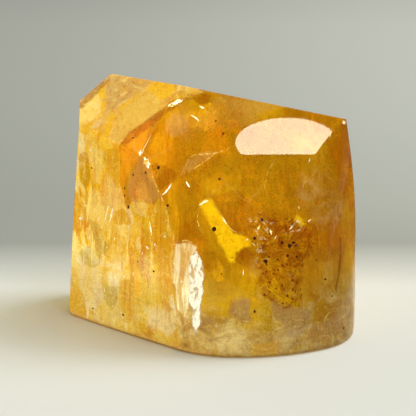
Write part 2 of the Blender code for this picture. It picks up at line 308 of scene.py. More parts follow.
# Panes with crisp edges, where flat healed fractures end: each colour's outlines (x, z) as seen from
# the front
PANES = {
    "haze": [
        [(-25, 54), (-22, 57.5), (-16, 61.5), (-11, 65), (-5.5, 66.5), (-1.5, 68), (-8, 72), (-28, 72),
         (-32, 66), (-38, 62), (-38, 56.5), (-31, 57)],
    ],
    "tan": [
        [(-28, 70), (-22, 70), (-15.5, 70), (-18, 67.5), (-22, 64.5), (-26, 62), (-29.5, 61), (-30, 64),
         (-29, 66.5), (-30, 67.5)],
    ],
    "bright_haze": [
        [(-37, 62), (-32, 66), (-30.5, 63.5), (-30.5, 61), (-33, 58.5), (-37, 57)],
        [(-20.8, 62.5), (-18.5, 62.8), (-17.8, 60), (-19.5, 59.3)],
    ],
    "facet": [
        [(-19.5, 65.5), (-17.5, 67), (-16, 66), (-13.5, 65.5), (-14.5, 63), (-16.5, 61.5), (-21, 58.5),
         (-25, 55), (-26, 54.5), (-27, 59), (-24.5, 62)],
    ],
    "gold_haze": [
        [(-32, 66), (-29.5, 67.5), (-29, 62.5), (-29.5, 60.5), (-33, 57.5), (-34.5, 54.5), (-37, 56),
         (-33, 58.5), (-30.5, 61), (-30.5, 63.5)],
        [(-18, 67.5), (-19.5, 65.8), (-23.5, 63), (-24.5, 62), (-25.5, 62.5), (-21, 66)],
        [(-28, 61), (-26.5, 61), (-27, 58), (-28.5, 54), (-29.5, 55)],
    ],
    "deep_gold": [
        [(-29, 52.5), (-25, 53.5), (-25, 50), (-25, 44.5), (-25.5, 41), (-27, 44.5), (-28.5, 46),
         (-29.5, 49)],
        [(-26.5, 35.5), (-24, 36.5), (-22, 35.5), (-22, 32.5), (-25.5, 31.5), (-27, 32)],
        [(-25.5, 15.5), (-21, 17), (-21, 12), (-21.5, 5), (-24.5, 3), (-25.5, 9.5)],
        [(-40.5, 12), (-38.5, 10.5), (-36, 7), (-35.5, 3), (-36, 0), (-41, 0)],
        [(11, 4.5), (18.5, 4.5), (18.5, 1), (14, 0.5), (10.5, 1)],
        [(11, 17), (14, 16.5), (12.5, 12.5), (11, 7.5), (10, 6.5), (11, 10.5)],
    ],
    "cream": [
        [(-33.5, 52), (-31, 52), (-29.5, 51.5), (-29.5, 47.5), (-30.5, 42), (-32.5, 42), (-33, 47)],
        [(-34, 39), (-31.5, 40), (-29.5, 36), (-29, 33), (-32, 32), (-34, 32.5), (-34.5, 35)],
        [(-22, 41), (-19, 41), (-17, 39.5), (-17.5, 36), (-21, 36.5)],
        [(-28, 22.5), (-25.5, 22.5), (-23, 23.5), (-23, 20), (-25.5, 18.5), (-28, 19)],
        [(-41, 27), (-37.5, 25), (-36, 21.5), (-37, 18.5), (-41, 19)],
    ],
    # Painted shade: a dark line along the top-left edge, where the edge bends the light
    "rim": [
        [(-37.5, 61.5), (-33, 66), (-28, 71), (-27.5, 69.5), (-32, 64.7), (-36, 61)],
    ],
    "field": [
        [(-17, 57.5), (-13.5, 61.5), (-7, 65), (4, 65), (6, 54.5), (1.5, 53.5), (-3, 51), (-5.5, 49),
         (-8, 48), (-10.5, 47), (-12, 45), (-13.5, 43.5), (-16.5, 50), (-18.5, 53)],
    ],
    "ember": [
        [(-25, 54), (-22, 57.5), (-16.5, 61), (-14.5, 62), (-16.5, 59), (-18, 54.5), (-18.5, 53), (-21, 49),
         (-23, 45.5), (-23.5, 42), (-23, 36), (-24.5, 42), (-25, 45), (-24.5, 50.5)],
        [(-21.5, 19.5), (-20, 20.5), (-19, 16.5), (-19.5, 12), (-21, 12), (-21, 16)],
    ],
    "rose": [
        [(-18.5, 53), (-17.5, 52), (-16, 49.5), (-15, 46), (-13.5, 43), (-15.5, 40), (-19, 40.5),
         (-22.5, 40.5), (-23, 42), (-22.5, 45), (-21, 48.5)],
        [(-20, 23.5), (-18, 25.5), (-16, 23.5), (-16.5, 17.5), (-18, 18), (-19.5, 19.5)],
    ],
    "dark": [
        [(-16, 51), (-13, 51), (-10.5, 49.5), (-8.5, 48.5), (-9.5, 47), (-11.5, 45.5), (-13.5, 44),
         (-15, 47)],
    ],
    "peach": [
        [(-12, 62), (-9.5, 63), (-6.5, 62), (-6.5, 59), (-8, 58), (-10, 57), (-12, 59)],
        [(-8, 48), (-7, 50.5), (-5, 53), (1.5, 54), (-3, 51.5), (-5.5, 49)],
        [(-29, 46), (-27.5, 45.5), (-25.5, 41.5), (-25, 37.5), (-27, 35.5), (-29.5, 36.5), (-30.5, 40.5)],
        [(-35.5, 26.5), (-32.5, 28.5), (-32, 26), (-30, 24), (-31.5, 22.5), (-34, 24)],
    ],
    "grey_rose": [
        [(24.5, 46), (27.5, 49), (31, 48), (29.5, 45.5), (31.5, 42), (27.5, 40), (25, 39), (23.5, 42.5)],
        [(28, 37), (30, 41), (33, 41.5), (36.5, 38.5), (36.5, 35), (33.5, 33), (30, 34)],
    ],
    "low_tan": [
        [(-1.5, 22), (8, 19.5), (10.5, 16.5), (7, 16.5), (-1, 15)],
        [(10.5, 27), (14, 27), (15, 22.5), (10.5, 22)],
        [(30.5, 24), (33.5, 24), (34, 19), (31, 18)],
    ],
    "foot_chalk": [
        [(-3, 6.5), (3.5, 7), (9, 6), (9.5, 2), (3, 1.5), (-3, 3)],
        [(18, 5), (20.5, 6.5), (23, 5), (22.5, 2.5), (19, 2)],
    ],
    "foot_rim": [
        [(-42, 1.2), (-20, 1.2), (0, 1.5), (0, -2), (-42, -2)],
    ],
    "mauve": [
        [(16.5, 16), (22.5, 13.5), (27, 12), (27.5, 9), (25.5, 5.5), (22.5, 4.5), (20, 6), (20, 9), (18, 11),
         (16.5, 13)],
        [(4.5, 13.5), (7, 17), (10.5, 16.5), (11, 10), (8.5, 10)],
    ],
    "olive": [
        [(-34, 31), (-31, 30), (-28.5, 24), (-30, 21), (-33, 24)],
        [(-30, 13), (-27.5, 13), (-25.5, 13.5), (-26, 9.5), (-28, 5.5), (-30, 8)],
        [(-37.5, 20), (-34.5, 23), (-31, 22.5), (-30, 19.5), (-32.5, 17), (-36, 17)],
    ],
    "blade": [
        [(-36.5, 49), (-35, 50.5), (-34, 49.5), (-33.5, 42), (-35, 39.5), (-36.5, 40.5), (-37, 46)],
    ],
    "milky": [
        [(-36, 22), (-32.5, 18.5), (-28, 18), (-24.5, 18), (-25, 20.5), (-28.5, 20), (-32, 20.5),
         (-34.5, 23.5)],
        [(-29.5, 15.5), (-29, 17), (-27, 17.5), (-25, 16.5), (-25.5, 14.5), (-27.5, 13.5), (-29, 14)],
        [(-18, 9.5), (-14, 11), (-9.5, 11), (-9, 6), (-12, 3.5), (-16.5, 4.5)],
    ],
    "gold_strip": [
        [(-15.5, 34), (-11, 35), (-10, 28.5), (-10.5, 14.5), (-14, 12.5), (-16, 15.5)],
        [(0.5, 24.5), (6, 26.5), (13, 22.5), (11.5, 17), (5, 16), (0.5, 19.5)],
    ],
    "stain_line": [
        [(-25, 54.3), (-22, 57.8), (-16, 61.7), (-12, 64.7), (-8, 66.8), (-4, 68), (-4, 67), (-8, 65.6),
         (-11.5, 63.3), (-15.5, 60.3), (-21, 56.3), (-24, 53)],
        [(-4.5, 66), (-1.5, 67.5), (0.5, 67.8), (-0.5, 65.5), (-2.5, 64.5)],
    ],
    "crack": [
        [(35.5, 30), (35.9, 30), (36.1, 25), (35.7, 20), (34.6, 15.5), (34.2, 15.5), (35.2, 20), (35.6, 25)],
    ],
    "brown": [
        [(0.5, 42.5), (7, 44.5), (11, 41), (12, 37), (11.5, 31.5), (9, 33), (6, 33.7), (3.5, 37.5)],
        [(28.5, 12.5), (36, 13), (37, 3.5), (30, 2.5), (26, 3.5), (28, 8.5)],
    ],
    "rust": [
        [(11, 36), (13, 37.5), (16.5, 36.5), (20.5, 37), (24, 35.5), (27.5, 34.5), (29.5, 30.5), (26, 25),
         (24.5, 19), (25, 13.5), (20.5, 14), (15.5, 16), (13, 20), (12.5, 26), (14, 27.5), (13, 31.5)],
    ],
    "pepper": [
        [(14, 27), (20, 28), (24.5, 25), (25, 19), (26, 15), (21.5, 13.5), (15, 16), (12.5, 21)],
        [(6, 29), (9, 29), (9.5, 26), (6, 26)],
    ],
    # Where the rust gets painted glints
    "glitter": [
        [(11, 36.5), (14, 38), (17, 36.5), (16.5, 32.5), (15.5, 26), (12, 25.5), (12.5, 31)],
        [(20, 36.8), (24, 36.5), (26, 34), (22, 32.5), (19, 34)],
    ],
    "lemon": [
        [(-2.8, 41), (-0.8, 42), (0.5, 41.5), (3.5, 37.2), (6, 33.5), (9, 32.8), (11, 31.5), (10.8, 30),
         (9, 29.5), (7, 28.5), (6.5, 26), (4.8, 25.7), (4, 29), (2, 32), (-0.3, 36), (-2, 39)],
        [(22.5, 36.5), (24, 37.5), (26, 35), (25, 34)],
    ],
    "straw": [
        [(-18, 67.5), (-15, 70), (-9, 70), (-9.5, 68), (-12, 66.5), (-14, 65.5), (-16, 67)],
    ],
    "haze_patch": [
        [(-9.5, 30.5), (-6, 31), (-3.5, 30), (-5.5, 26), (-5.5, 18), (-6.5, 10), (-9, 12.5), (-10, 20),
         (-10, 27.5)],
    ],
    # The worn, frosted place on the front corner, which also carries a painted highlight
    "frost_and_highlight": [
        [(-3.5, 29), (-2, 26.5), (-1.7, 21.5), (-2.3, 15.5), (-3, 9), (-4, 6), (-4.5, 9), (-4.5, 12.5),
         (-6, 15), (-5.5, 17.5), (-5.3, 21.5), (-5.7, 24), (-5, 27.5)],
    ],
    "side": [
        [(-0.5, 75), (-0.5, 68.5), (-5, 67), (-8.5, 66), (-14.5, 63), (-22, 57.5), (-25, 54), (-24.5, 50.5),
         (-25, 45), (-23, 36), (-21.5, 39.5), (-15.5, 40), (-13.5, 43), (-12, 39.5), (-9.5, 31.5),
         (-10.5, 26.5), (-10, 14.5), (-8, 3), (-8, -5), (-50, -5), (-50, 75)],
    ],
}
# Each pane's colour, its strength, and how soft and how ragged its edge is. A pane without a colour is
# a place for a pattern.
PANE_COLOURS = {
    "side": (None, 1.0, 0.3, 1.6),
    "haze": (SAND, 0.60, 0.35, 2.4),
    "tan": (GREY_TAN, 0.70, 0.8, 3.0),
    "bright_haze": (CREAM, 0.60, 0.6, 3.0),
    "facet": (WARM_TAN, 0.88, 0.2, 0.9),
    "gold_haze": (SAFFRON, 0.85, 0.4, 2.0),
    "deep_gold": (DEEP_GOLD, 0.86, 0.3, 2.4),
    "cream": (CREAM, 0.60, 0.5, 3.5),
    # painted shade along the top-left edge
    "rim": (UMBER, 0.85, 0.35, 0.8),
    "straw": (SAFFRON, 0.85, 0.25, 1.0),
    "field": (ORANGE, 0.45, 0.30, 1.6),
    "ember": (EMBER, 0.75, 0.20, 1.6),
    "rose": (ROSE_TAN, 0.66, 0.20, 1.6),
    "dark": (BROWN, 0.75, 0.25, 1.6),
    "peach": (PEACH, 0.58, 0.5, 4.0),
    "grey_rose": (GREY_ROSE, 0.42, 1.8, 9.0),
    "mauve": (MAUVE, 0.70, 0.6, 3.0),
    "low_tan": (WARM_TAN, 0.35, 0.4, 2.4),
    "foot_chalk": (CHALK, 0.35, 1.2, 7.0),
    "foot_rim": (ROSE_TAN, 0.7, 0.5, 1.0),
    "olive": (OLIVE, 0.66, 0.35, 2.4),
    "blade": (OLD_GOLD, 0.75, 0.25, 1.6),
    "milky": (FROST, 0.40, 1.1, 7.0),
    "gold_strip": (HONEY, 0.40, 0.4, 3.0),
    "stain_line": (RUST, 0.8, 0.35, 2.4),
    "crack": (DARK_RUST, 0.70, 0.25, 0.8),
    "brown": (BROWN, 0.60, 0.25, 1.6),
    "rust": (RUST, 0.60, 0.7, 6.0),
    "pepper": (None, 1.0, 1.2, 7.0),
    "glitter": (None, 1.0, 0.8, 6.0),
    "lemon": (LEMON, 0.8, 0.45, 2.8),
    "haze_patch": (CREAM, 0.50, 0.35, 2.4),
    "frost_and_highlight": (None, 1.0, 0.25, 3.0),
}
FAR_OUTSIDE = 50.0  # the distance to a pane's edge that is given to the sides and the back


def outline_distance(places, outline):
    """How far each place is outside an outline. Inside it, the distance is negative."""
    corners = np.array(outline, float)
    nearest = np.full(len(places), np.inf)
    inside = np.zeros(len(places), bool)
    for start, end in zip(corners, np.roll(corners, -1, axis=0)):
        side = end - start
        share = np.clip((places - start) @ side / (side @ side), 0.0, 1.0)
        nearest = np.minimum(nearest, np.linalg.norm(places - start - share[:, None] * side, axis=1))
        crosses = (start[1] > places[:, 1]) != (end[1] > places[:, 1])
        rise = np.where(side[1] == 0.0, 1.0, side[1])
        inside ^= crosses & (places[:, 0] < start[0] + (places[:, 1] - start[1]) * side[0] / rise)
    return np.where(inside, -nearest, nearest)


def smooth_step(value, low, high):
    share = np.clip((value - low) / (high - low), 0.0, 1.0)
    return share * share * (3.0 - 2.0 * share)


def mark_stone(mesh):
    """Gives the stone its clouds of colour and the distance to the panes' edges, point by point."""
    count = len(mesh.vertices)
    places, normals = np.empty(count * 3), np.empty(count * 3)
    mesh.vertices.foreach_get("co", places)
    mesh.vertices.foreach_get("normal", normals)
    places = places.reshape(count, 3) / MILLIMETRE
    normals = normals.reshape(count, 3)
    hidden = smooth_step(normals[:, 1], -0.02, 0.14)
    shift = np.array([noise.noise_vector(Vector(place) / 8.0) for place in places]) * 4.0
    bent = places + shift
    tint = np.zeros((count, 4))
    for (x, z), (wide, high), turn, colour, strength in CLOUDS.values():
        across = bent - (x, CLOUD_MIDDLE_Y, z)
        cos, sin = math.cos(math.radians(turn)), math.sin(math.radians(turn))
        along = (across[:, 0] * cos + across[:, 2] * sin) / wide
        over = (across[:, 2] * cos - across[:, 0] * sin) / high
        reach = np.sqrt(along**2 + over**2 + (across[:, 1] / CLOUD_HALF_DEPTH) ** 2)
        share = smooth_step(-reach, -1.0 - CLOUD_SOFTNESS, -1.0 + CLOUD_SOFTNESS) * strength
        tint[:, :3] += (np.array(colour) - tint[:, :3]) * np.where(tint[:, 3] > 0, share, 1.0)[:, None]
        tint[:, 3] += (1.0 - tint[:, 3]) * share
    attribute = mesh.attributes.new("clouds", "FLOAT_COLOR", "POINT")
    attribute.data.foreach_set("color", tint.ravel())
    marks = {
        "under": smooth_step(-normals[:, 2], 0.5, 0.9),
        "left": hidden * smooth_step(-bent[:, 0], 2.0, 14.0),
        "hidden": hidden,
    }
    seen = places[:, [0, 2]]
    for name, outlines in PANES.items():
        distance = np.min([outline_distance(seen, outline) for outline in outlines], axis=0)
        marks[name] = distance + hidden * FAR_OUTSIDE
    for name, values in marks.items():
        mesh.attributes.new(name, "FLOAT", "POINT").data.foreach_set("value", values)


STRIP_SLOPE = (1.0, 0.25, 0.12)  # the upright strips at the left lean a little
STRIP_WIDTH = 4.5
FINE_STRIP_WIDTH = 1.3
FOOT_TOP = 24.0  # the foot is duller and milkier below about this height, and painted shade darkens it
# Near-white of the worn corner: a painted highlight where the frosted corner catches the light
FROSTED_HIGHLIGHT_WHITE = (1.0, 0.94, 0.72)


class StonePaint(Paint):
    """Golden quartz. Its colour is laid on in turns, which share the patterns that are made first."""

    def __init__(self, name):
        super().__init__(name)
        self.bent = self.warp(self.place, 9.0, 5.0)
        self.bent_finely = self.warp(self.bent, 1.8, 0.8)
        self.height = self.axis(self.bent, "Z")
        self.tall = self.stretch(self.bent_finely, scale=(1.0, 1.0, 0.32), turn=(0.0, 0.2, 0.0))
        self.wisps = self.noise(self.warp(self.bent, 2.5, 0.4), 4.0, detail=9.0, roughness=0.66)
        self.billows = self.noise(self.bent, 13.0, detail=6.0, roughness=0.55)
        self.mottle = self.noise(self.bent, 2.6, detail=6.0, roughness=0.62)
        self.bundles = self.noise(self.tall, 6.0, detail=2.0)
        upright = self.stretch(self.warp(self.place, 6.0, 1.2), scale=(1.0, 1.0, 0.10))
        self.fibres = self.noise(upright, 1.2, detail=6.0, roughness=0.6)
        slanting = self.stretch(self.bent, scale=(0.22, 1.0, 1.0), turn=(0.0, 0.75, 0.0))
        self.slants = self.noise(slanting, 1.4, detail=5.0, roughness=0.6)
        low = self.ease(self.height, 8.0, FOOT_TOP, 0.30, 1.0)
        self.above_foot = self.times(low, self.ease(self.height, 54.0, 44.0, 0.25, 1.0))
        self.uneven = self.math("ADD", self.height, self.times(self.centred(self.billows), 26.0))
        crooked = self.centred(self.wisps)
        self.masks = {}
        for pane, (_, strength, softness, raggedness) in PANE_COLOURS.items():
            ragged = self.math("ADD", self.attribute(pane), self.times(crooked, raggedness))
            self.masks[pane] = self.ease(ragged, softness, -softness, 0.0, strength)
        self.left = self.math("MAXIMUM", self.attribute("left"), self.masks["side"])
        at_foot = self.times(self.ease(self.uneven, 19.0, 7.0), self.on_left(0.75, 0.36))
        self.at_foot = self.times(at_foot, self.ease(self.attribute("hidden"), 0.0, 1.0, 1.0, 0.35))

    def on_left(self, elsewhere, there):
        """One number at the left side and another elsewhere."""
        return self.ease(self.left, 0.0, 1.0, elsewhere, there)

    def lay(self, share, tint, mode="MIX"):
        """Lays a tint over the colour so far."""
        self.colour = self.blend(share, self.colour, tint, mode)

    def lay_ground(self):
        """Billows, broken into strips and chips at the left, with the clouds of colour over them."""
        values = {0: self.bent_finely, 1: STRIP_SLOPE}
        slant = self.add("ShaderNodeVectorMath", values, operation="DOT_PRODUCT").outputs["Value"]
        where = self.ease(self.noise(self.tall, 7.0, detail=1.0), 0.49, 0.51)
        left_panes = self.mix(where, self.cell_tone(self.tall, 5.0), self.strip_tone(slant, STRIP_WIDTH))
        panes = self.mix(self.left, self.cell_tone(self.bent_finely, 9.0), left_panes)
        bundled = self.ease(self.bundles, 0.40, 0.56, 0.0, 0.32)
        fine = self.times(self.centred(self.strip_tone(slant, FINE_STRIP_WIDTH)), self.left, bundled)
        chips = self.cell_tone(self.stretch(self.bent_finely, scale=(1.0, 1.0, 0.45)), 2.2)
        tone = self.billows
        for layer in (
            self.times(self.centred(panes), self.on_left(0.12, 0.64)),
            self.times(fine, self.above_foot),
            self.times(self.centred(chips), self.on_left(0.04, 0.22)),
        ):
            tone = self.math("ADD", tone, layer)
        self.colour = self.blend(
            self.left,
            self.ramp(tone, (0.28, BROWN), (0.42, AMBER), (0.58, HONEY), (0.80, PALE_GOLD)),
            self.ramp(tone, (0.22, ORANGE), (0.36, HONEY), (0.50, STRAW), (0.63, CREAM), (0.84, FROST)),
        )
        clouds = self.add("ShaderNodeAttribute", attribute_name="clouds")
        self.lay(clouds.outputs["Alpha"], clouds.outputs["Color"])
        swirls = self.noise(self.warp(self.bent, 6.0, 5.0), 4.5, detail=6.0, roughness=0.62, distortion=0.3)
        swirled = self.ramp(swirls, (0.37, UMBER), (0.45, OLD_GOLD), (0.53, SAND), (0.63, CHALK))
        self.lay(self.at_foot, swirled)

    def lay_panes(self):
        """The flat healed fractures, each in its own colour."""
        masks = self.masks
        masks["lemon"] = self.times(masks["lemon"], self.ease(self.mottle, 0.36, 0.50, 0.5, 1.1))
        masks["grey_rose"] = self.times(masks["grey_rose"], self.ease(self.mottle, 0.40, 0.58, 0.2, 1.3))
        for pane, (tint, *_) in PANE_COLOURS.items():
            if tint:
                self.lay(masks[pane], tint)

    def lay_haze(self):
        """Slanting streaks in the haze at the top left."""
        in_haze = self.ease(self.masks["haze"], 0.1, 0.5)
        for smooth in ("facet", "straw", "gold_haze"):
            in_haze = self.times(in_haze, self.ease(self.masks[smooth], 0.0, 0.7, 1.0, 0.15))
        self.lay(self.times(in_haze, self.ease(self.slants, 0.52, 0.68, 0.0, 0.45)), CREAM)
        self.lay(self.times(in_haze, self.ease(self.slants, 0.48, 0.34, 0.0, 0.5)), HONEY)

    def lay_fibres(self):
        """Upright fibres, wisps and fine cracks. It gives back how milky the pale ones make the stone."""
        calm_in_haze = self.ease(self.masks["haze"], 0.1, 0.5, 1.0, 0.3)
        lively = self.times(self.on_left(0.20, 1.0), calm_in_haze, self.above_foot)
        bright = self.blend(self.left, PALE_GOLD, CREAM)
        dense, sparse = self.ease(self.bundles, 0.38, 0.60), self.ease(self.bundles, 0.60, 0.35)
        pale = self.times(self.ease(self.fibres, 0.50, 0.62), dense, lively, 0.72)
        self.lay(pale, bright)
        self.lay(self.times(self.ease(self.fibres, 0.50, 0.34), sparse, 0.55), ORANGE, "MULTIPLY")
        pale_wisps = self.times(self.ease(self.wisps, 0.54, 0.76), lively, 0.5)
        self.lay(pale_wisps, bright)
        self.lay(self.times(self.ease(self.wisps, 0.46, 0.26), 0.30), ORANGE, "MULTIPLY")
        edge = self.cells(self.stretch(self.bent_finely, turn=(0.3, 0.5, 0.2)), 17.0, "DISTANCE_TO_EDGE")
        self.lay(self.times(self.ease(edge, 0.014, 0.003), self.ease(self.billows, 0.50, 0.60), 0.22), CREAM)
        return self.times(self.math("ADD", pale_wisps, pale), 0.4)

    def lay_rust(self):
        """The rusty patch, with its veins, pepper and painted glints of glitter."""
        rust = self.ease(self.masks["rust"], 0.1, 0.4)
        glitter = self.masks["glitter"]
        winding = self.noise(self.bent_finely, 1.7, detail=5.0, roughness=0.6)
        glints = self.noise(self.warp(self.place, 2.0, 2.5), 1.3, detail=5.0, roughness=0.6)
        dots = self.ease(self.cells(self.bent_finely, 1.25), 0.30, 0.20)
        chosen = self.ease(self.cell_tone(self.bent_finely, 1.25), 0.42, 0.46)
        # Painted glints: straw shines and near-white flecks are laid over the glitter panes
        shines = self.times(self.ridge(winding, 0.56, 0.022, 0.006), self.ease(glitter, 0.0, 0.6), 0.8)
        self.lay(self.times(rust, self.ease(self.mottle, 0.51, 0.60, 0.0, 0.75)), DEEP_GOLD)
        self.lay(self.times(rust, self.ridge(winding, 0.47, 0.030, 0.008), 0.55), DARK_RUST)
        self.lay(shines, STRAW)
        self.lay(self.times(rust, self.ease(self.mottle, 0.47, 0.36, 0.0, 0.55)), RUST, "MULTIPLY")
        self.lay(self.times(self.masks["pepper"], dots, chosen, 0.9), DARK_RUST)
        self.lay(self.times(glitter, self.ease(glints, 0.57, 0.61), 0.9), FROST)

    def lay_foot(self):
        """Threads at the foot and the left, scrapes at the foot, and over all of it random grain and a
        painted shade that darkens the foot, most towards the right.
        """
        winding = self.noise(self.warp(self.bent, 4.0, 4.0), 3.4, detail=3.0)
        threaded = self.times(self.left, self.ease(self.masks["haze"], 0.0, 0.3, 0.8, 0.0))
        threaded = self.math("MAXIMUM", self.at_foot, threaded)
        self.lay(self.times(threaded, self.ridge(winding, 0.5, 0.016, 0.004), 0.55), CREAM)
        self.lay(self.times(threaded, self.ridge(winding, 0.44, 0.014, 0.004), 0.5), ORANGE, "MULTIPLY")
        self.lay(self.times(self.at_foot, self.ease(self.slants, 0.54, 0.68, 0.0, 0.3)), CREAM)
        self.lay(self.times(self.at_foot, self.ease(self.slants, 0.48, 0.34, 0.0, 0.6)), UMBER)
        grain = self.ease(self.noise(self.place, 0.6, detail=2.0), 0.25, 0.75, 0.88, 1.08)
        # Painted shade: below FOOT_TOP the colour gets darker towards the floor, most at the right end
        foot_painted_shade = self.ease(self.axis(self.bent, "X"), -30.0, 34.0, 0.84, 0.66)
        shade = self.times(grain, self.ease(self.height, FOOT_TOP, 12.0, 1.0, foot_painted_shade))
        self.colour = self.scaled(self.colour, shade)

    def lay_worn_places(self, milk):
        """The frosted sliver, laid near-white as a painted highlight, and the underside. It gives back how
        clear and how frosted the stone is.
        """
        masks = self.masks
        shards = self.stretch(self.bent_finely, scale=(1.0, 1.0, 0.35))
        shards = self.noise(shards, 1.3, detail=6.0, roughness=0.66)
        self.lay(self.times(masks["haze_patch"], self.ease(self.fibres, 0.40, 0.60, 0.2, 1.9)), FROST)
        frost_and_highlight = self.times(masks["frost_and_highlight"], self.ease(shards, 0.36, 0.50, 0.35, 1.0))
        # Painted highlight: the frosted corner is laid near-white where it catches the light
        self.lay(frost_and_highlight, FROSTED_HIGHLIGHT_WHITE)
        under = self.attribute("under")
        self.lay(under, ORANGE)
        clear = self.on_left(0.64, 0.38)
        for share in (
            milk,
            self.times(frost_and_highlight, 0.6),
            self.times(masks["haze_patch"], 0.5),
            self.times(masks["lemon"], 0.4),
            self.times(masks["grey_rose"], 0.3),
            self.ease(self.uneven, 28.0, 13.0, 0.0, 0.58),
            under,
        ):
            clear = self.math("SUBTRACT", clear, share)
        return self.math("MAXIMUM", clear, 0.0), frost_and_highlight


def quartz_material():
    """See-through golden quartz, milky where its veils are, and frosted and painted with a highlight where
    its corner is worn.
    """
    paint = StonePaint("golden_quartz")
    paint.lay_ground()
    paint.lay_panes()
    paint.lay_haze()
    milk = paint.lay_fibres()
    paint.lay_rust()
    paint.lay_foot()
    clear, frost_and_highlight = paint.lay_worn_places(milk)
    inputs = paint.shader.inputs
    paint.give(inputs["Base Color"], paint.colour)
    paint.give(inputs["Transmission Weight"], clear)
    paint.give(inputs["Roughness"], paint.ease(frost_and_highlight, 0.2, 0.8, 0.012, 0.22))
    crackle = paint.noise(paint.place, 0.9, detail=4.0, roughness=0.7)
    height = paint.times(crackle, paint.ease(frost_and_highlight, 0.1, 0.8))
    bump = paint.add("ShaderNodeBump", {"Strength": 1.0, "Distance": 0.00045, "Height": height})
    paint.give(inputs["Normal"], bump.outputs["Normal"])
    inputs["IOR"].default_value = QUARTZ_IOR
    absorption = paint.add("ShaderNodeVolumeAbsorption", {"Color": (0.97, 0.81, 0.10), "Density": 45.0})
    lamp_light = paint.add("ShaderNodeBsdfTransparent", {"Color": (0.58, 0.57, 0.50)})
    ray = paint.add("ShaderNodeLightPath").outputs["Is Shadow Ray"]
    surfaces = {0: ray, 1: paint.shader.outputs[0], 2: lamp_light.outputs[0]}
    mixed = paint.add("ShaderNodeMixShader", surfaces)
    paint.links.new(mixed.outputs[0], paint.output.inputs["Surface"])
    paint.links.new(absorption.outputs[0], paint.output.inputs["Volume"])
    return paint.material


SHARP_ANGLE = math.radians(13.0)
FOOT_ROUNDING = (0.05, 1.6)  # the foot's edge is rounded between these heights
SHOULDER_HEIGHT = 53.1  # the front's top edge, which is crisp all the way
SHOULDER_ANGLE = math.radians(4.0)
CURVE_LEVELS = 2  # how often the curved faces are divided
GRID_STEP = 1.0  # the flat faces are divided into squares of this size
SMALL_FACE = 1.3  # square millimetres


def slice_faces(bm, axis, place):
    """Cuts the large faces that cross a plane along it, so that they carry the marks finely."""
    step = 0.2 * MILLIMETRE
    crossed = []
    for face in bm.faces:
        if face.calc_area() < SMALL_FACE * MILLIMETRE**2:
            continue
        values = [vert.co[axis] for vert in face.verts]
        if min(values) < place - step and max(values) > place + step:
            crossed.append(face)
    if not crossed:
        return
    edges = list({edge for face in crossed for edge in face.edges})
    verts = list({vert for face in crossed for vert in face.verts})
    normal = Vector((0.0, 0.0, 0.0))
    normal[axis] = 1.0
    geometry = verts + edges + crossed
    bmesh.ops.bisect_plane(bm, geom=geometry, dist=1e-6, plane_co=normal * place, plane_no=normal)


def is_crisp(edge):
    """Whether an edge of the stone stays sharp."""
    height = (edge.verts[0].co.z + edge.verts[1].co.z) / 2.0 / MILLIMETRE
    if FOOT_ROUNDING[0] < height < FOOT_ROUNDING[1]:
        return False
    level = abs(edge.verts[0].co.z - edge.verts[1].co.z) < 0.1 * MILLIMETRE
    at_shoulder = level and abs(height - SHOULDER_HEIGHT) < 0.3
    return edge.calc_face_angle(0.0) > (SHOULDER_ANGLE if at_shoulder else SHARP_ANGLE)


def make_stone():
    """The polished stone: the solid's own shape, with its curved faces rounder and its flat ones fine."""
    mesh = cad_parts[NODE].data.copy()
    bm = bmesh.new()
    bm.from_mesh(mesh)
    bmesh.ops.remove_doubles(bm, verts=bm.verts, dist=0.01 * MILLIMETRE)
    bmesh.ops.join_triangles(
        bm,
        faces=bm.faces,
        angle_face_threshold=math.radians(4.0),
        angle_shape_threshold=math.radians(60.0),
    )
    crease = bm.edges.layers.float.new("crease_edge")
    for edge in bm.edges:
        edge[crease] = 1.0 if is_crisp(edge) else 0.0
    bm.to_mesh(mesh)
    bm.free()
    rough = place_mesh("rough", mesh)
    rounder = rough.modifiers.new("rounder", "SUBSURF")
    rounder.levels = rounder.render_levels = CURVE_LEVELS
    graph = bpy.context.evaluated_depsgraph_get()
    fine = bpy.data.meshes.new_from_object(rough.evaluated_get(graph))
    bpy.data.objects.remove(rough, do_unlink=True)
    bm = bmesh.new()
    bm.from_mesh(fine)
    for edge in bm.edges:
        edge.smooth = not is_crisp(edge)
    lowest, highest = CAD_BOX
    for axis in range(3):
        place = lowest[axis] + GRID_STEP * MILLIMETRE
        while place < highest[axis]:
            slice_faces(bm, axis, place)
            place += GRID_STEP * MILLIMETRE
    bm.to_mesh(fine)
    bm.free()
    for polygon in fine.polygons:
        polygon.use_smooth = True
    mark_stone(fine)
    return place_mesh("polished_stone", fine, quartz_material())


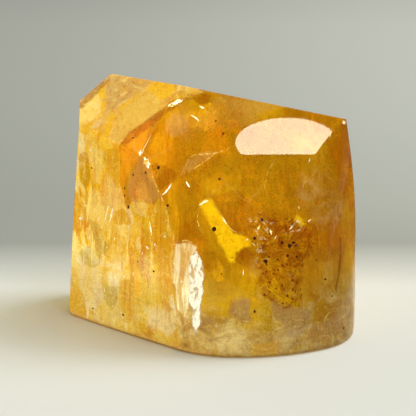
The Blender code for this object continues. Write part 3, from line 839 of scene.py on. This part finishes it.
# Thin sheets inside, where old fractures healed: the outline (x, z) that each shows to the front, how
# deep its middle lies, how much deeper it gets per millimetre to the right and upwards, how far it
# waves, its pattern, its colour and how dense it is
SHEETS = {
    "lemon_sheet": (PANES["lemon"][0], 1.6, (0.10, -0.05), 0.5, "solid", LEMON, 0.8),
    "ember_sheet": (PANES["ember"][0], 3.0, (-0.15, 0.10), 0.8, "solid", ORANGE, 0.7),
    "rust_sheet": (PANES["rust"][0], 1.6, (0.05, 0.05), 0.6, "crackle", RUST, 0.8),
    "deep_rust_sheet": (PANES["rust"][0], 5.0, (-0.10, 0.10), 1.5, "cloud", RUST, 0.6),
    "pepper_sheet": (PANES["pepper"][0], 1.0, (0.0, 0.0), 0.3, "crackle", BROWN, 0.5),
    "low_rose_cloud": (PANES["mauve"][0], 3.0, (0.10, 0.05), 0.8, "cloud", SAND, 0.4),
    "high_rose_cloud": (PANES["grey_rose"][0], 3.5, (0.05, -0.10), 0.8, "cloud", SAND, 0.3),
    "arched_veil": (
        [(-9, 47), (-4, 53), (7, 55.5), (9, 54), (2, 52), (-3, 47), (-6, 43.5)],
        2.0, (0.0, -0.20), 0.6, "cloud", CREAM, 0.5,
    ),
    "cream_fibres": (
        [(-37, 45), (-30, 50), (-24, 46), (-20, 34), (-14, 24), (-12, 8), (-22, 4), (-38, 6)],
        2.5, (0.0, 0.03), 1.2, "fibres", CREAM, 0.75,
    ),
    "deep_cream_fibres": (
        [(-36, 40), (-26, 44), (-18, 36), (-8, 20), (-8, 8), (-24, 5), (-37, 8)],
        6.5, (0.05, 0.0), 2.0, "fibres", CREAM, 0.7,
    ),
    "golden_cloud": (
        [(-6, 50), (10, 50), (26, 50), (34, 40), (20, 36), (8, 40), (-4, 40)],
        5.0, (0.05, -0.10), 1.5, "cloud", PALE_GOLD, 0.45,
    ),
    "low_cloud": (
        [(-2, 24), (12, 24), (26, 12), (20, 3), (4, 2), (-4, 8)],
        4.0, (0.0, 0.10), 1.2, "cloud", SAND, 0.5,
    ),
}
SHEET_STEP = 0.8
SHEET_MARGIN = 1.2  # how far each sheet reaches past its outline, for its ragged edge

# White flakes on small fractures at the surface, painted near-white so that they also stand for glints: the
# points that each runs through, and its width
FLAKES = [
    ([(-11.5, 64.5), (-9.5, 65.5), (-7.5, 66.0)], 0.9),
    ([(-5.5, 62.5), (-4.0, 61.8), (-3.0, 61.0)], 0.28),
    ([(-3.0, 64.5), (-1.5, 64.0)], 0.32),
    ([(-19.2, 52.8), (-18.8, 54.2)], 0.5),
    ([(-18.0, 52.6), (-17.2, 51.3), (-16.5, 49.8)], 1.1),
    ([(-13.0, 43.0), (-11.5, 44.5), (-10.5, 46.0)], 0.4),
    ([(-6.5, 46.5), (-5.5, 45.0)], 0.5),
    ([(-3.0, 40.5), (-1.5, 41.4), (-0.5, 41.7)], 0.5),
    ([(-28.0, 31.5), (-27.0, 36.0)], 0.38),
    ([(-29.5, 31.5), (-28.2, 36.5)], 0.24),
    ([(-16.5, 35.0), (-16.0, 31.0)], 0.4),
    ([(-17.5, 27.6), (-16.9, 27.0)], 0.4),
    ([(-37.0, 30.5), (-36.5, 30.0)], 0.7),
    ([(3.2, 37.6), (4.5, 35.7)], 0.35),
    ([(36.2, 61.0), (36.9, 60.0)], 0.8),
    ([(12.8, 34.0), (13.4, 35.2)], 0.3),
    ([(16.6, 32.6), (16.2, 34.0)], 0.4),
    ([(17.4, 31.4), (17.9, 32.4)], 0.22),
    ([(21.4, 33.6), (22.6, 34.6)], 0.25),
    ([(26.6, 35.2), (27.4, 36.0)], 0.25),
]
SMALL_FLAKES = 26  # strewn about, most of them low at the left

# Fine pale seams where healed fractures meet the surface: the points that each runs through, and its
# width
SEAMS = [
    ([(-8.0, 48.0), (-5.5, 52.5), (-4.5, 53.0), (1.5, 53.5), (5.0, 54.5)], 0.30),
    ([(-5.5, 49.0), (-1.5, 51.5), (1.5, 53.5)], 0.30),
    ([(-27.0, 28.5), (-27.0, 23.5), (-27.5, 19.0)], 0.35),
    ([(-25.0, 16.5), (-25.5, 11.0), (-25.5, 3.5)], 0.30),
    ([(-21.0, 16.5), (-20.5, 9.0)], 0.30),
    ([(-16.0, 23.5), (-16.5, 18.5), (-16.5, 12.0)], 0.30),
    ([(-10.0, 30.5), (-10.4, 25.0), (-10.0, 18.0)], 0.35),
    ([(-9.8, 31.0), (-6.5, 31.6), (-3.5, 30.6)], 0.30),
    ([(-3.0, 40.0), (-3.6, 37.0), (-2.4, 33.5)], 0.25),
    ([(-16.2, 49.5), (-14.8, 46.0), (-13.3, 42.8), (-11.8, 39.5), (-10.8, 36.0)], 0.28),
    ([(14.5, 44.0), (15.5, 48.5), (18.0, 52.5)], 0.12),
    ([(24.0, 41.0), (25.5, 45.5), (29.0, 48.5)], 0.10),
    ([(0.5, 41.5), (2.5, 38.7), (5.0, 35.0), (6.5, 33.8), (9.4, 33.2)], 0.22),
    ([(30.0, 5.0), (31.5, 9.0), (35.0, 12.5)], 0.30),
    ([(5.0, 8.0), (8.5, 10.5), (14.5, 10.0)], 0.30),
    ([(-36.5, 14.0), (-34.5, 10.0), (-32.5, 8.5)], 0.30),
]
FLAKE_PROUD = 0.02
FLAKE_THICKNESS = 0.12

# The larger specks of black iron ore: place (x, z) as seen from the front, and radius
SPECKS = [
    (1.0, 34.5, 0.55), (12.0, 32.0, 0.35), (15.0, 26.0, 0.5), (19.5, 30.5, 0.45), (21.5, 29.5, 0.5),
    (22.6, 30.2, 0.4), (23.2, 29.4, 0.35), (21.0, 27.0, 0.4), (23.5, 26.5, 0.4), (14.0, 36.5, 0.4),
    (29.0, 25.0, 0.25), (31.5, 19.5, 0.3), (33.5, 14.5, 0.25), (12.0, 13.0, 0.35), (3.0, 23.0, 0.25),
    (2.5, 47.0, 0.3), (3.5, 58.0, 0.3), (1.5, 61.0, 0.25), (-14.0, 50.0, 0.45), (-17.5, 48.5, 0.3),
    (-21.0, 47.0, 0.3), (-21.0, 56.5, 0.3), (-23.5, 42.5, 0.35), (-23.5, 40.5, 0.3), (-22.5, 37.5, 0.45),
    (-11.5, 40.5, 0.35), (-15.5, 21.0, 0.3), (-20.0, 22.5, 0.25), (-24.5, 5.5, 0.4), (-33.5, 4.5, 0.3),
    (37.0, 4.5, 0.3), (-33.0, 46.0, 0.3), (9.0, 59.5, 0.13), (11.0, 58.5, 0.10), (19.5, 59.0, 0.12),
    (10.0, 56.0, 0.10), (17.0, 60.5, 0.10), (14.0, 57.5, 0.09), (23.5, 55.0, 0.12), (26.0, 57.0, 0.08),
]
SPECK_GROWTH = 1.05
SPECK_FLUSH = 0.03  # how far the large specks stand out of the polish


class Sight:
    """Finds places inside the stone that lie behind a place on its front, as the camera sees it."""

    def __init__(self, stone):
        mesh = stone.data
        corners = [vert.co / MILLIMETRE for vert in mesh.vertices]
        self.tree = BVHTree.FromPolygons(corners, [polygon.vertices for polygon in mesh.polygons])
        self.eye = CAMERA_TARGET + TO_CAMERA * CAMERA_DISTANCE

    def front(self, x, z):
        """The front's place and outward direction at (x, z), or None beside the stone."""
        place, normal, _, _ = self.tree.ray_cast(Vector((x, -200.0, z)), Vector((0.0, 1.0, 0.0)))
        return None if place is None else (place, normal)

    def behind(self, x, z, depth):
        """The place at a depth behind the front, along the bent line of sight, or None outside."""
        hit = self.front(x, z)
        if hit is None:
            return None
        place, normal = hit
        sight = (place - self.eye).normalized()
        cosine = -sight.dot(normal)
        bent = math.sqrt(1.0 - (1.0 - cosine * cosine) / QUARTZ_IOR**2)
        inward = sight / QUARTZ_IOR + normal * (cosine / QUARTZ_IOR - bent)
        return place + inward * (depth / bent)

    def holds(self, place, margin=0.4):
        """Whether a place is inside the stone and clear of its surface."""
        nearest, normal, _, _ = self.tree.find_nearest(place)
        return nearest is not None and (nearest - place).dot(normal) > margin


def sheet_mesh(sight, name, outline, depth, lean, waves):
    """A sheet behind an outline. Its points know how far outside the outline they are."""
    corners = np.array(outline, float)
    middle = corners.mean(axis=0)
    lowest = corners.min(axis=0) - SHEET_MARGIN
    highest = corners.max(axis=0) + SHEET_MARGIN
    columns = np.arange(lowest[0], highest[0] + SHEET_STEP, SHEET_STEP)
    rows = np.arange(lowest[1], highest[1] + SHEET_STEP, SHEET_STEP)
    places = np.array([(x, z) for x in columns for z in rows])
    outside = outline_distance(places, outline)
    bm = bmesh.new()
    rim = bm.verts.layers.float.new("rim")
    grid = {}
    for index, (x, z) in enumerate(places):
        if outside[index] > SHEET_MARGIN:
            continue
        ripple = noise.noise(Vector((x / 7.0, z / 7.0, depth * 3.7))) * waves
        ripple += noise.noise(Vector((x / 2.5, z / 2.5, depth))) * waves * 0.35
        down = depth + (x - middle[0]) * lean[0] + (z - middle[1]) * lean[1] + ripple
        place = sight.behind(x, z, max(down, 0.5))
        if place is None or not sight.holds(place):
            continue
        vert = bm.verts.new(place * MILLIMETRE)
        vert[rim] = outside[index]
        grid[divmod(index, len(rows))] = vert
    for column, row in grid:
        keys = [(column, row), (column + 1, row), (column + 1, row + 1), (column, row + 1)]
        if all(key in grid for key in keys):
            bm.faces.new([grid[key] for key in keys])
    loose = [vert for vert in bm.verts if not vert.link_faces]
    bmesh.ops.delete(bm, geom=loose, context="VERTS")
    return mesh_from(bm, name)


def sheet_material(name, pattern, colour, density):
    """A veil, stain or crackle: opaque in its pattern and clear between."""
    paint = Paint(name)
    bent = paint.warp(paint.place, 3.0, 0.6)
    wisps = paint.noise(bent, 3.5, detail=8.0, roughness=0.62)
    ragged = paint.math("ADD", paint.attribute("rim"), paint.times(paint.centred(wisps), 5.0))
    soft = {"solid": 0.25, "crackle": 0.8}.get(pattern, 1.6)
    cover = paint.ease(ragged, 0.0, -soft)
    if pattern == "solid":
        drawn = paint.ease(wisps, 0.30, 0.46, 0.55, 1.0)
    elif pattern == "crackle":
        edges = paint.cells(bent, 2.2, feature="DISTANCE_TO_EDGE")
        lines = paint.ease(edges, 0.14, 0.03)
        blots = paint.ease(paint.noise(bent, 2.0, detail=6.0, roughness=0.7), 0.54, 0.62)
        drawn = paint.math("MAXIMUM", paint.times(lines, 0.8), blots)
    elif pattern == "fibres":
        upright = paint.stretch(bent, scale=(1.0, 1.0, 0.12))
        fibres = paint.noise(upright, 1.6, detail=6.0, roughness=0.6)
        drawn = paint.times(paint.ease(fibres, 0.46, 0.66), paint.ease(wisps, 0.36, 0.60))
    else:
        drawn = paint.ease(wisps, 0.42, 0.68)
    tone = paint.noise(bent, 1.5, detail=5.0, roughness=0.7)
    dark = tuple(channel * 0.62 for channel in colour)
    light = tuple(min(channel * 1.15 + 0.02, 1.0) for channel in colour)
    shades = paint.ramp(tone, (0.34, dark), (0.50, colour), (0.68, light))
    return paint.finish(shades, 0.55, alpha=paint.times(cover, drawn, density), specular=0.2)


def point_along(points, share):
    """The point at a share of the way along a line through points."""
    place = share * (len(points) - 1)
    index = min(int(place), len(points) - 2)
    return Vector(points[index]).lerp(Vector(points[index + 1]), place - index)


def sliver_mesh(sight, name, slivers, draw):
    """Thin ragged slivers flush with the front, each along its own line."""
    bm = bmesh.new()
    for points, width in slivers:
        steps = 6 * (len(points) - 1)
        left, right = [], []
        for step in range(steps + 1):
            share = step / steps
            middle = point_along(points, share)
            before, after = max(share - 0.05, 0.0), min(share + 0.05, 1.0)
            ahead = point_along(points, after) - point_along(points, before)
            side = Vector((-ahead.y, ahead.x)).normalized()
            reach = width * (0.15 + math.sin(math.pi * share)) * draw.uniform(0.3, 0.7)
            middle = middle + side * (draw.uniform(-0.2, 0.2) * width)
            left.append(middle + side * reach)
            right.append(middle - side * reach)
        ring = [sight.behind(spot.x, spot.y, -FLAKE_PROUD) for spot in left + right[::-1]]
        if None in ring:
            continue
        front = [bm.verts.new(place * MILLIMETRE) for place in ring]
        inward = Vector((0.0, FLAKE_THICKNESS, 0.0))
        rear = [bm.verts.new((place + inward) * MILLIMETRE) for place in ring]
        count = len(ring)
        for step in range(steps):
            other = count - 1 - step
            bm.faces.new((front[step], front[step + 1], front[other - 1], front[other]))
            bm.faces.new((rear[other], rear[other - 1], rear[step + 1], rear[step]))
        for index in range(count):
            after = (index + 1) % count
            bm.faces.new((front[after], front[index], rear[index], rear[after]))
    bmesh.ops.recalc_face_normals(bm, faces=bm.faces)
    return mesh_from(bm, name)


def make_flakes(sight):
    """Small bright fractures, painted near-white as glints, and the fine pale seams."""
    draw = random.Random(11)
    flakes = list(FLAKES)
    for _ in range(SMALL_FLAKES):
        start = Vector((draw.triangular(-39.0, 36.0, -28.0), draw.triangular(3.0, 60.0, 20.0)))
        reach = Vector((draw.gauss(0.0, 0.35), draw.uniform(0.4, 1.5)))
        flakes.append(([start, start + reach], draw.uniform(0.10, 0.22)))
    paint = Paint("flake_with_painted_glint")
    glitter = paint.noise(paint.place, 0.5, detail=3.0)
    # Painted glints: the flakes go from cream to near-white
    flake = paint.finish(paint.ramp(glitter, (0.4, CREAM), (0.6, GLINT_WHITE)), 0.35)
    paint = Paint("pale_seam")
    broken = paint.noise(paint.place, 1.2, detail=4.0, roughness=0.6)
    shades = paint.ramp(broken, (0.4, PALE_GOLD), (0.6, CREAM))
    seam = paint.finish(shades, 0.4, alpha=paint.ease(broken, 0.38, 0.58, 0.0, 0.42))
    return [
        place_mesh("fracture_flakes", sliver_mesh(sight, "fracture_flakes", flakes, draw), flake),
        place_mesh("healed_seams", sliver_mesh(sight, "healed_seams", SEAMS, draw), seam),
    ]


def speck_material():
    paint = Paint("black_iron")
    tone = paint.noise(paint.place, 0.3, detail=2.0)
    return paint.finish(paint.ramp(tone, (0.4, IRON_BLACK), (0.7, IRON_BROWN)), 0.7, specular=0.05)


def scattered_specks(host, name, density, seed, smallest, largest, material):
    """Fine specks strewn over a sheet, as one plain mesh. Density is per square metre."""
    tree = bpy.data.node_groups.new(name, "GeometryNodeTree")
    sockets = {}
    for label, direction, kind in (
        ("Sheet", "INPUT", "NodeSocketGeometry"),
        ("Density", "INPUT", "NodeSocketFloat"),
        ("Seed", "INPUT", "NodeSocketInt"),
        ("Smallest", "INPUT", "NodeSocketFloat"),
        ("Largest", "INPUT", "NodeSocketFloat"),
        ("Specks", "OUTPUT", "NodeSocketGeometry"),
    ):
        sockets[label] = tree.interface.new_socket(label, in_out=direction, socket_type=kind)
    given = tree.nodes.new("NodeGroupInput").outputs
    points = tree.nodes.new("GeometryNodeDistributePointsOnFaces")
    radius = tree.nodes.new("FunctionNodeRandomValue")
    ball = tree.nodes.new("GeometryNodeMeshIcoSphere")
    ball.inputs["Radius"].default_value = 1.0
    ball.inputs["Subdivisions"].default_value = 1
    turn = tree.nodes.new("FunctionNodeRandomValue")
    turn.data_type = "FLOAT_VECTOR"
    turn.inputs["Max"].default_value = (6.28, 6.28, 6.28)  # about a full turn each way
    instances = tree.nodes.new("GeometryNodeInstanceOnPoints")
    real = tree.nodes.new("GeometryNodeRealizeInstances")
    painted = tree.nodes.new("GeometryNodeSetMaterial")
    painted.inputs["Material"].default_value = material
    result = tree.nodes.new("NodeGroupOutput")
    for start, end in (
        (given["Sheet"], points.inputs["Mesh"]),
        (given["Density"], points.inputs["Density"]),
        (given["Seed"], points.inputs["Seed"]),
        (given["Smallest"], radius.inputs[2]),
        (given["Largest"], radius.inputs[3]),
        (given["Seed"], radius.inputs["Seed"]),
        (points.outputs["Points"], instances.inputs["Points"]),
        (ball.outputs["Mesh"], instances.inputs["Instance"]),
        (turn.outputs[0], instances.inputs["Rotation"]),
        (radius.outputs[1], instances.inputs["Scale"]),
        (instances.outputs["Instances"], real.inputs["Geometry"]),
        (real.outputs["Geometry"], painted.inputs["Geometry"]),
        (painted.outputs["Geometry"], result.inputs["Specks"]),
    ):
        tree.links.new(start, end)
    holder = place_mesh(name, host.copy())
    modifier = holder.modifiers.new("specks", "NODES")
    modifier.node_group = tree
    chosen = (density, seed, smallest * MILLIMETRE, largest * MILLIMETRE)
    for label, value in zip(("Density", "Seed", "Smallest", "Largest"), chosen):
        modifier[sockets[label].identifier] = value
    graph = bpy.context.evaluated_depsgraph_get()
    mesh = bpy.data.meshes.new_from_object(holder.evaluated_get(graph))
    bpy.data.objects.remove(holder, do_unlink=True)
    return mesh


def make_specks(sight, sheets):
    """The black iron specks: the large ones where they lie, and the fine ones over the sheets."""
    draw = random.Random(5)
    material = speck_material()
    bm = bmesh.new()
    for x, z, radius in SPECKS:
        place, normal = sight.front(x, z)
        radius *= SPECK_GROWTH
        made = bmesh.ops.create_icosphere(bm, subdivisions=2, radius=radius)
        squash = Vector((draw.uniform(0.75, 1.2), draw.uniform(0.75, 1.2), SPECK_FLUSH / radius))
        facing = normal.to_track_quat("Z", "Y")
        for vert in made["verts"]:
            lump = 1.0 + 0.45 * noise.noise(vert.co / radius * 1.3 + place)
            vert.co = (place + facing @ (vert.co * squash * lump)) * MILLIMETRE
    fine = (
        ("pepper_sheet", 0.9e6, 3, 0.07, 0.24),
        ("rust_sheet", 0.12e6, 4, 0.08, 0.26),
        ("ember_sheet", 0.15e6, 6, 0.10, 0.26),
        ("cream_fibres", 0.03e6, 8, 0.10, 0.28),
        ("golden_cloud", 0.02e6, 9, 0.10, 0.25),
    )
    for name, *scatter in fine:
        bm.from_mesh(scattered_specks(sheets[name].data, name + "_specks", *scatter, material))
    mesh = mesh_from(bm, "iron_specks")
    return place_mesh("iron_specks", mesh, material)


BLADE_COUNT = 70
BLADE_REACH = (-36.0, 34.0)  # x range
NARROW, TALL, BROAD = (1.2, 3.0), (4.0, 11.0), (2.5, 6.0)  # half sizes: upright at the left, squat elsewhere


def make_blades(sight):
    """Clear-cut healed faces deep in the stone: thin leaning plates of milky quartz."""
    draw = random.Random(21)
    bm = bmesh.new()
    tint = bm.verts.layers.float.new("tone")
    made = 0
    for _ in range(BLADE_COUNT * 6):
        if made == BLADE_COUNT:
            break
        x = draw.triangular(BLADE_REACH[0], BLADE_REACH[1], -24.0)
        z = draw.uniform(4.0, 62.0)
        depth = draw.uniform(1.5, 9.0)
        centre = sight.behind(x, z, depth)
        if centre is None:
            continue
        on_left = x < -6.0
        wide = draw.uniform(*(NARROW if on_left else BROAD))
        high = draw.uniform(*(TALL if on_left else BROAD))
        turn = math.radians(draw.gauss(0.0, 10.0) if on_left else draw.uniform(-60.0, 60.0))
        swing = math.radians(draw.uniform(-55.0, 55.0))
        nod = math.radians(draw.uniform(-25.0, 25.0))
        along = Vector((math.cos(turn), 0.0, math.sin(turn)))
        up = Vector((-math.sin(turn), 0.0, math.cos(turn)))
        along = (along + Vector((0.0, math.tan(swing), 0.0))).normalized()
        up = (up + Vector((0.0, math.tan(nod), 0.0))).normalized()
        count = draw.randint(5, 7)
        ring = []
        for index in range(count):
            angle = (index + draw.uniform(-0.25, 0.25)) / count * math.tau
            spread = draw.uniform(0.75, 1.15)
            corner = centre + along * (math.cos(angle) * wide * spread)
            ring.append(corner + up * (math.sin(angle) * high * spread))
        if not all(sight.holds(place, 0.5) for place in ring):
            continue
        tone = draw.random()
        plate = [bm.verts.new(place * MILLIMETRE) for place in ring]
        for vert in plate:
            vert[tint] = tone
        bm.faces.new(plate)
        made += 1
    paint = Paint("healed_face")
    upright = paint.stretch(paint.place, scale=(1.0, 1.0, 0.15))
    fibres = paint.noise(upright, 1.0, detail=5.0, roughness=0.6)
    shades = ((0.0, ORANGE), (0.35, PALE_GOLD), (0.6, CREAM), (1.0, FROST))
    colour = paint.ramp(paint.attribute("tone"), *shades)
    material = paint.finish(colour, 0.4, alpha=paint.ease(fibres, 0.34, 0.66, 0.15, 0.7))
    return place_mesh("healed_faces", mesh_from(bm, "healed_faces"), material)


def make_inside(stone):
    """Everything that shows inside the stone."""
    sight = Sight(stone)
    sheets = {}
    for name, (outline, depth, lean, waves, pattern, colour, density) in SHEETS.items():
        mesh = sheet_mesh(sight, name, outline, depth, lean, waves)
        sheets[name] = place_mesh(name, mesh, sheet_material(name, pattern, colour, density))
    return [*sheets.values(), *make_flakes(sight), make_specks(sight, sheets), make_blades(sight)]


def make_studio():
    """A pale floor with painted light and shade, soft lights and the camera."""
    floor = bmesh.new()
    bmesh.ops.create_circle(floor, cap_ends=True, segments=64, radius=FLOOR_RADIUS)
    paint = Paint("floor")
    depth, across = paint.axis(paint.place, "Y"), paint.axis(paint.place, "X")
    share = paint.ease(depth, 0.0, 500.0)
    share.node.interpolation_type = "LINEAR"
    # Painted light and shade: the floor's tone changes with the distance behind the stone
    tones = paint.ramp(
        share, (0.06, NEAR_FLOOR), (0.14, FLOOR_PAINTED_SHADE), (0.45, FAR_FLOOR), (0.85, FARTHEST_FLOOR)
    )
    # Painted light across the floor: lighter at the left near the stone and at the right further back
    near_across = paint.ease(across, -110.0, 110.0, 1.08, 0.90)
    far_across = paint.ease(across, -110.0, 110.0, 0.96, 1.09)
    painted_light_across = paint.mix(paint.ease(depth, 20.0, 120.0), near_across, far_across)
    material = paint.finish(paint.scaled(tones, painted_light_across), 0.6, specular=0.0)
    floor_piece = place_mesh("floor", mesh_from(floor, "floor"), material)

    # Dark cloths in front and beside, which only the polished faces mirror, keep their colour deep
    paint = Paint("dark_cloth")
    away = paint.add("ShaderNodeVectorMath", {0: paint.place}, operation="LENGTH").outputs["Value"]
    tone = paint.blend(paint.ease(away, 60.0, 120.0), NEAR_FLOOR, CLOTH_BLACK)
    paint.give(paint.shader.inputs["Base Color"], tone)
    for name, (west, east), (south, north) in CLOTHS:
        cloth = bmesh.new()
        corners = ((west, south), (east, south), (east, north), (west, north))
        cloth.faces.new([cloth.verts.new(Vector((x, y, CLOTH_HEIGHT)) * MILLIMETRE) for x, y in corners])
        piece = place_mesh(name, mesh_from(cloth, name), paint.material)
        for ray in ("camera", "diffuse", "transmission", "shadow"):
            setattr(piece, "visible_" + ray, False)

    world = bpy.data.worlds.new("studio")
    world.use_nodes = True
    tree = world.node_tree
    direction = tree.nodes.new("ShaderNodeTexCoord").outputs["Generated"]
    split = tree.nodes.new("ShaderNodeSeparateXYZ")
    tree.links.new(direction, split.inputs[0])
    behind = tree.nodes.new("ShaderNodeMapRange")
    for name, value in (("From Min", -0.35), ("From Max", 0.55), ("To Min", 0.03), ("To Max", 0.8)):
        behind.inputs[name].default_value = value
    tree.links.new(split.outputs["Y"], behind.inputs["Value"])
    background = tree.nodes["Background"]
    background.inputs["Color"].default_value = (0.62, 0.64, 0.60, 1.0)
    tree.links.new(behind.outputs["Result"], background.inputs["Strength"])
    bpy.context.scene.world = world

    def softbox(name, azimuth, elevation, distance, size, power, colour=DAYLIGHT, aim=(0.0, 0.0, 30.0)):
        """A soft light round the stone. Azimuth 0 is at the camera, and 90 to its right."""
        data = bpy.data.lights.new(name, "AREA")
        data.shape = "RECTANGLE"
        data.size, data.size_y = size[0] * MILLIMETRE, size[1] * MILLIMETRE
        data.energy = power
        data.color = colour
        light = bpy.data.objects.new(name, data)
        bpy.context.collection.objects.link(light)
        around, up = math.radians(azimuth), math.radians(elevation)
        level = math.cos(up)
        away = Vector((math.sin(around) * level, -math.cos(around) * level, math.sin(up)))
        light.location = (Vector(aim) + away * distance) * MILLIMETRE
        light.rotation_euler = away.to_track_quat("Z", "Y").to_euler()
        return light

    key = softbox("key", -46.0, 42.0, 900.0, (450.0, 450.0), 9.0)
    softbox("fill", 50.0, 60.0, 1000.0, (500.0, 500.0), 3.4)
    softbox("back", 108.0, 54.0, 900.0, (450.0, 450.0), 6.0)
    unlit = bpy.data.collections.new("not_lit_by_key")
    unlit.objects.link(floor_piece)
    unlit.collection_objects[0].light_linking.link_state = "EXCLUDE"
    key.light_linking.receiver_collection = unlit
    oval = {"colour": LOW_SUNLIGHT, "aim": (20.3, -7.2, 56.5)}
    glint = softbox("bevel_glint", 7.9, 55.68, 600.0, (65.0, 30.8), 0.064, **oval)
    glint.rotation_euler.rotate_axis("Z", math.radians(-5.0))
    glint.data.shape = "ELLIPSE"

    data = bpy.data.cameras.new("camera")
    data.lens = CAMERA_LENS
    camera = bpy.data.objects.new("camera", data)
    bpy.context.collection.objects.link(camera)
    camera.location = (CAMERA_TARGET + TO_CAMERA * CAMERA_DISTANCE) * MILLIMETRE
    camera.rotation_euler = TO_CAMERA.to_track_quat("Z", "Y").to_euler()
    data.clip_start, data.clip_end = 0.01, 20.0
    bpy.context.scene.camera = camera
    bpy.context.scene.view_settings.view_transform = "Standard"


stone = make_stone()
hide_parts(NODE)
for piece in [stone, *make_inside(stone)]:
    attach(piece, "root")
make_studio()
